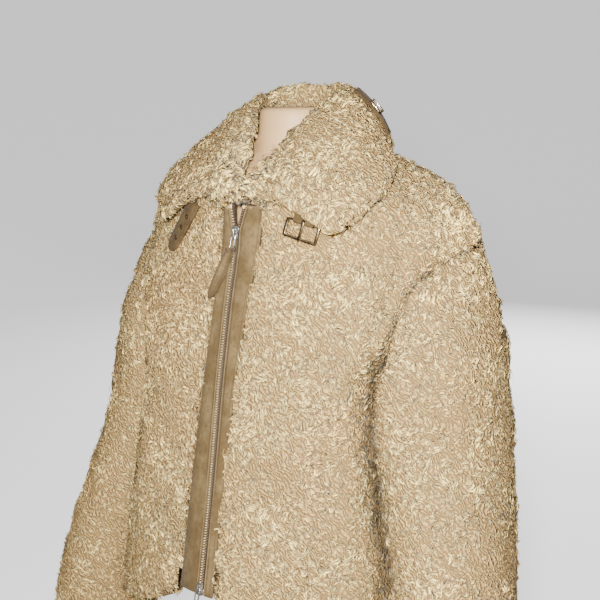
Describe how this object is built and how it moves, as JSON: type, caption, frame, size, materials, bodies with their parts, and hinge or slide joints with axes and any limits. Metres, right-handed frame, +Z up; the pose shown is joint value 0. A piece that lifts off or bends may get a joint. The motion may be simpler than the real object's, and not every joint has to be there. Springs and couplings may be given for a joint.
{
  "type": "faux fur coat on a dress form",
  "caption": "Short faux fur coat with a wide folded collar, a two-way front zip between suede facings, a collar strap and buckles, shown zipped on a limbless dress form.",
  "frame": {"origin": "centre of the underside of the dress form's base", "axes": "+Z up, -Y the way the coat's front faces, +X the wearer's left"},
  "size_m": [0.748, 0.3808, 0.873],
  "materials": {
    "fur": "curly cream pile",
    "suede": "matt suede",
    "zip_tape": "woven tape",
    "metal": "antique nickel",
    "form_shell": "matt",
    "form_metal": "satin grey"
  },
  "bodies": {
    "coat_on_form": {"back": "fur", "collar": "fur", "front_left": "fur", "front_right": "fur", "sleeve_left": "fur", "sleeve_right": "fur", "placket_left": "suede", "placket_right": "suede", "collar_strap": "suede", "buckle_keeper": "suede", "back_strap": "suede", "zip_chain": "zip_tape", "zip_side_left": "zip_tape", "zip_side_right": "zip_tape", "zip_slider": "metal", "zip_slider_bottom": "metal", "back_buckle_frame": "metal", "back_buckle_prong": "metal", "form_body": "form_shell", "form_pole": "form_metal", "form_base": "form_metal"},
    "zip_pull": {"zip_puller": "metal", "zip_pull_tab": "suede"},
    "bottom_pull": {"zip_puller_bottom": "metal"},
    "buckle": {"buckle_frame": "metal"},
    "prong": {"buckle_prong": "metal"}
  },
  "joints": [
    {"name": "zip_pull_swing", "type": "hinge", "parent": "coat_on_form", "child": "zip_pull", "pos_m": [0, -0.1229, 0.69263], "axis": [-1, 0, 0], "range_deg": [0, 140]},
    {"name": "bottom_pull_swing", "type": "hinge", "parent": "coat_on_form", "child": "bottom_pull", "pos_m": [0, -0.20948, 0.26], "axis": [-1, 0, 0], "range_deg": [0, 140]},
    {"name": "buckle_frame_lift", "type": "hinge", "parent": "coat_on_form", "child": "buckle", "pos_m": [0.09462, -0.10719, 0.71103], "axis": [-0.9244, -0.2637, 0.2757], "range_deg": [0, 35]},
    {"name": "buckle_prong_lift", "type": "hinge", "parent": "buckle", "child": "prong", "pos_m": [0.09462, -0.10719, 0.71103], "axis": [-0.9244, -0.2637, 0.2757], "range_deg": [0, 35]}
  ]
}
